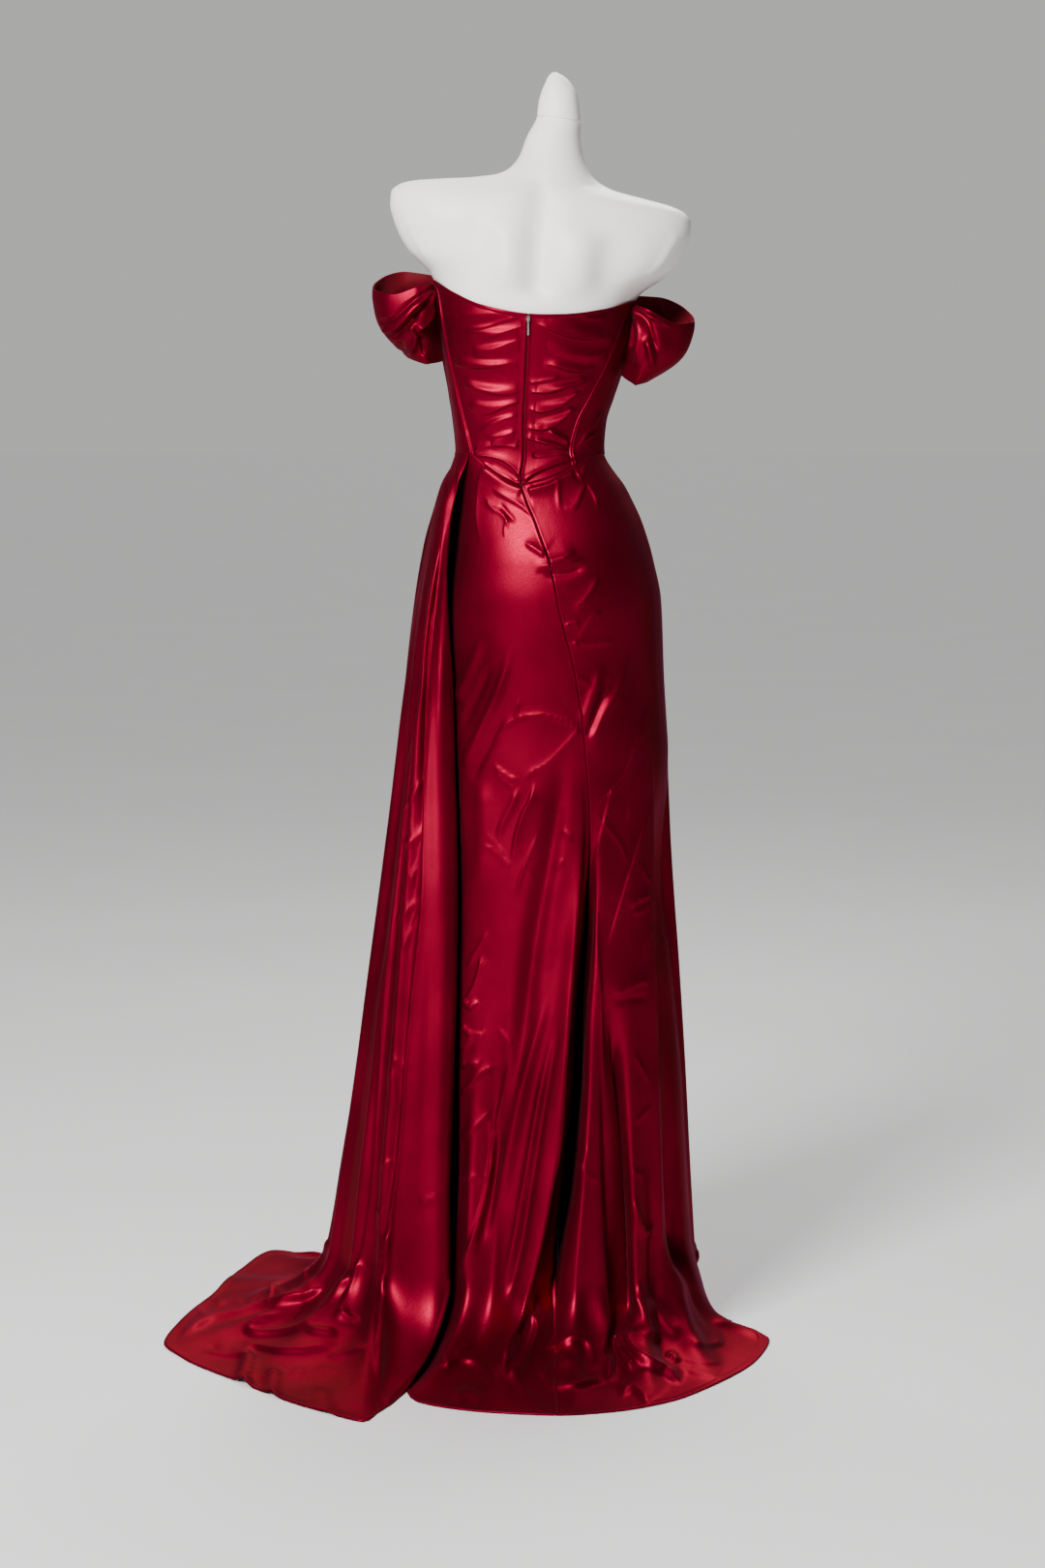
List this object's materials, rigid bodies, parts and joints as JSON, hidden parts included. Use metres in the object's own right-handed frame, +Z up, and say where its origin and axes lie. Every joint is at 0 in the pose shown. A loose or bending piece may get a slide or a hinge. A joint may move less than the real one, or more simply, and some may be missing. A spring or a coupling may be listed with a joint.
{
  "type": "corset evening gown on a dress form",
  "caption": "Off-shoulder corset evening gown in red satin with a back zip, side drape and train, on a limbless white dress form with a round base.",
  "frame": {"origin": "on the floor, at the centre of the underside of the dress form's round base plate", "axes": "+Z up, +Y towards the gown's back, +X towards the wearer's left side"},
  "size_m": [0.8209, 0.8243, 1.7153],
  "materials": {
    "satin": "satin",
    "form_white": "satin",
    "steel": "brushed"
  },
  "bodies": {
    "gown_on_form": {"bodice_back_left": "satin", "bodice_back_right": "satin", "bodice_centre_front": "satin", "bodice_side_back_left": "satin", "bodice_side_back_right": "satin", "bodice_side_front_left": "satin", "bodice_side_front_right": "satin", "form_base": "steel", "form_neck_cap": "form_white", "form_pole": "steel", "form_torso": "form_white", "side_drape": "satin", "skirt_back_left": "satin", "skirt_back_right": "satin", "skirt_front": "satin", "sleeve_left": "satin", "sleeve_right": "satin", "zip_coil": "satin", "zip_slider": "steel"},
    "pull_tab": {"zip_pull": "steel"}
  },
  "joints": [
    {"name": "pull_tab_hinge", "type": "hinge", "parent": "gown_on_form", "child": "pull_tab", "pos_m": [0.0326, 0.09887, 1.385], "axis": [1, 0, 0], "range_deg": [0, 150]}
  ]
}
